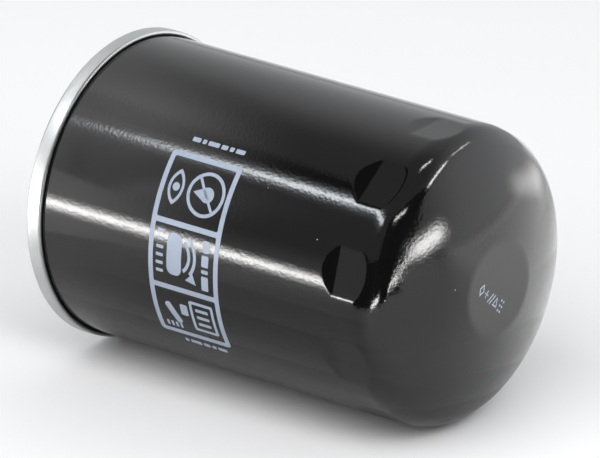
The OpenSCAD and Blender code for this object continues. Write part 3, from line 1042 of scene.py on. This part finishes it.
def strip(name, start, end, thick, distance, strength, core=0.5, soft=0.25, aim=DOME,
          colour=(1.0, 0.99, 0.97)):
    """A strip of light from one direction to another, thick degrees across."""
    a, b = facing(*start) * distance, facing(*end) * distance
    side = (a + b).cross(b - a).normalized() * distance * math.tan(math.radians(thick / 2))
    sheet_in_air(name, [aim + a - side, aim + b - side, aim + b + side, aim + a + side],
                 glow(name, strength, colour, core, soft))


def screen(name, directions, distance, aim=DOME):
    """A black sheet whose corners lie in the given directions."""
    material, tree = new_finish(name)
    black = tree.node("ShaderNodeBsdfDiffuse", sockets={"Color": (0.003, 0.003, 0.003, 1)})
    tree.node("ShaderNodeOutputMaterial", sockets={"Surface": black})
    sheet_in_air(name, [aim + facing(*d) * distance for d in directions], material)


print("strips glow, and screens are black")

# %% [markdown]
# Two long strips make the two bright lines along the can: a window above the viewer, which
# a screen cuts to a slant at one end, and a low lamp in front.

# %% Strips along the can
strip("window", (-57.4, 42.5), (12.0, 45.6), 15.0, 1.3, 22.0, 0.12, 0.11, MIDDLE,
      (0.90, 0.95, 1.0))
screen("window_shade", [(-100, 40), (-62, 47.5), (-40, 52.5), (-40, 57), (-62, 53), (-100, 47)],
       1.2, MIDDLE)
strip("low_front", (-62, -2.1), (-8, -2.3), 8.6, 0.40, 24.0, 0.27, 0.08, MIDDLE)

# %% [markdown]
# The shoulder and the dome are curved, so they mirror a wide part of the room. Short strips
# make the glints round the shoulder and the broad one on the dome. Three screens keep the
# front, the underside and the upper edge dark between them.

# %% Strips and screens round the dome
strip("lamp_high_front", (38.5, 43.2), (71, 39.8), 3.6, 0.27, 24.0, 0.4)
strip("lamp_high_end", (98, 34.3), (125, 47.6), 6.0, 0.27, 22.0, 0.4)
strip("lamp_high_back", (127, 48.4), (158, 42.6), 3.6, 0.27, 9.0, 0.5)
strip("lamp_overhead", (80, 80), (125, 72), 5.0, 0.27, 20.0, 0.4)
strip("lamp_low_front", (22, -8.6), (46.5, -4.0), 5.4, 0.22, 26.0, 0.4)
strip("lamp_low_end", (67, -6.6), (78, -0.2), 4.6, 0.22, 22.0, 0.35)
strip("end_tail", (76, -2.0), (88, 8.0), 3.0, 0.27, 18.0, 0.4, 0.3)
strip("end_lamp", (82, 5.2), (108, 12.4), 13.0, 0.27, 22.0, 0.32, 0.35)
screen("black_front", [(28, -9), (80, -9), (81, 0), (103, 30), (97, 40), (78, 46), (28, 46)],
       0.31)
screen("black_low", [(-28, -9), (28, -9), (28, 20), (-28, 16)], 0.31)
screen("black_high", [(-78, 56), (-58, 56), (-44, 62), (-34, 70), (-60, 76), (-86, 66)], 1.2)
strip("horizon", (95, -1.5), (178, -1.5), 5.0, 1.2, 0.45, 0.3, 0.4)
strip("back_patch", (148, 8.5), (182, -5.5), 10.0, 0.27, 2.2, 0.4, 0.3)

# %% [markdown]
# Two pale sheets beside the rim brighten its tin. Two more lie just above the table, so that
# the paint mirrors them in its place: one glows to the right of the filter and behind it,
# and one dims the table below the can.

# %% Sheets by the rim and over the table
RIM_GLOW, TABLE_GLOW = 1.5, 0.95
SHEET_LIFT = 0.001
for name, place, size in (("left_glow", (-0.070, -0.13, 0.055), (0.22, 0.32)),
                          ("left_glow_top", (-0.070, -0.045, 0.150), (0.24, 0.20))):
    middle = Vector(place)
    wide, high = Vector((0, size[0] / 2, 0)), Vector((0, 0, size[1] / 2))
    sheet_in_air(name, [middle - wide - high, middle + wide - high,
                        middle + wide + high, middle - wide + high],
                 glow(name, RIM_GLOW, (1, 1, 1), 4.0, 0.48))


def floor_sheet(name, corners, material):
    """A level sheet just over the table, seen only in reflections."""
    sheet_in_air(name, [(x, y, floor_z + SHEET_LIFT) for x, y in corners], material)


shine, tree = new_finish("bright_table")
place = object_place(tree)
x, y = place.part("X"), place.part("Y")
clear_of_can = (x * 0.86 + y * 0.51).between(0.09, 0.17)
towards_back = (y * 0.95 - x * 0.3).between(-0.07, 0.06)
let_through(tree, tree.node("ShaderNodeEmission", sockets={
    "Strength": clear_of_can * towards_back * TABLE_GLOW}))
floor_sheet("bright_table", [(-0.5, -0.5), (14.0, -0.5), (14.0, 14.0), (-0.5, 14.0)], shine)
floor_sheet("dim_table", [(-0.06, -1.2), (0.18, -1.2), (0.18, 1.0), (-0.06, 1.0)],
            glow("dim_table", 0.0, (1, 1, 1), 9.0, 0.36, 0.36))

# %% [markdown]
# ## Lamps that only the matt surfaces see
# The other half of the light is three soft area lamps. They are hidden from glossy rays, so
# they light the table, the ink and the paper and leave no mark in paint or metal.

# %% Lamps that light the table
def lamp(name, place, aim, size, power):
    """A square soft lamp that lights the table but shows in no reflection."""
    light = bpy.data.lights.new(name, "AREA")
    light.shape = "SQUARE"
    light.size = size
    light.energy = power
    made = bpy.data.objects.new(name, light)
    scene.collection.objects.link(made)
    made.location = place
    made.rotation_mode = "QUATERNION"
    made.rotation_quaternion = (Vector(place) - Vector(aim)).to_track_quat("Z", "Y")
    made.visible_glossy = False
    made.visible_camera = False


lamp("softbox", (0.06, 0.40, 1.60), (0.06, 0, 0), 2.0, 2.0)
lamp("front_fill", (0.1, -1.4, 1.4), (0.0, -0.1, 0), 2.2, 33.0)
lamp("side_fill", (1.3, -0.6, 1.0), (0.25, 0, 0), 0.8, 13.0)

# %% [markdown]
# The room itself is a plain colour that changes with direction: brightest behind the filter
# and to its right, a little brighter near the horizon, and greyer overhead at the front.

# %% The room
room = bpy.data.worlds.new("room")
room.use_nodes = True
room.node_tree.nodes.clear()
scene.world = room
tree = Wire(room.node_tree)
look = tree.node("ShaderNodeTexCoord", out="Generated")
behind = look.part("Y").between(0.12, 0.62)
low = 1 - look.part("Z").between(0.05, 0.22)
back_right = look.part("X") * 0.63 + look.part("Y") * 0.777
DARKEST, BEHIND, HORIZON, BACK_RIGHT = 0.30, 0.55, 0.25, 0.75
level = DARKEST + behind * BEHIND + low * HORIZON * (1 - behind) \
    + back_right.between(0.45, 1.0) * BACK_RIGHT
sky = tree.node("ShaderNodeBackground", sockets={
    "Color": (0.97, 0.985, 1.0, 1.0), "Strength": level})
tree.node("ShaderNodeOutputWorld", sockets={"Surface": sky})
scene.view_settings.view_transform = "Standard"
print("the room is lit")

# %% [markdown]
# ## The camera
# A long lens from 2.8 m away keeps the filter's sides nearly parallel. The camera looks down
# by about 21 degrees, from the domed end's front quarter.

# %% The camera
AIM, DISTANCE = Vector((0.0392, 0.0286, -0.0138)), 2.7957
away = facing(38.85, 21.37)
camera = bpy.data.objects.new("camera", bpy.data.cameras.new("camera"))
scene.collection.objects.link(camera)
camera.data.sensor_width = 36
camera.data.lens = 549.2
camera.data.clip_start = 0.1
camera.data.clip_end = 60
camera.location = AIM + away * DISTANCE
camera.rotation_mode = "QUATERNION"
camera.rotation_quaternion = (-away).to_track_quat("-Z", "Y")
scene.camera = camera
print("camera at", [round(v, 3) for v in camera.location])
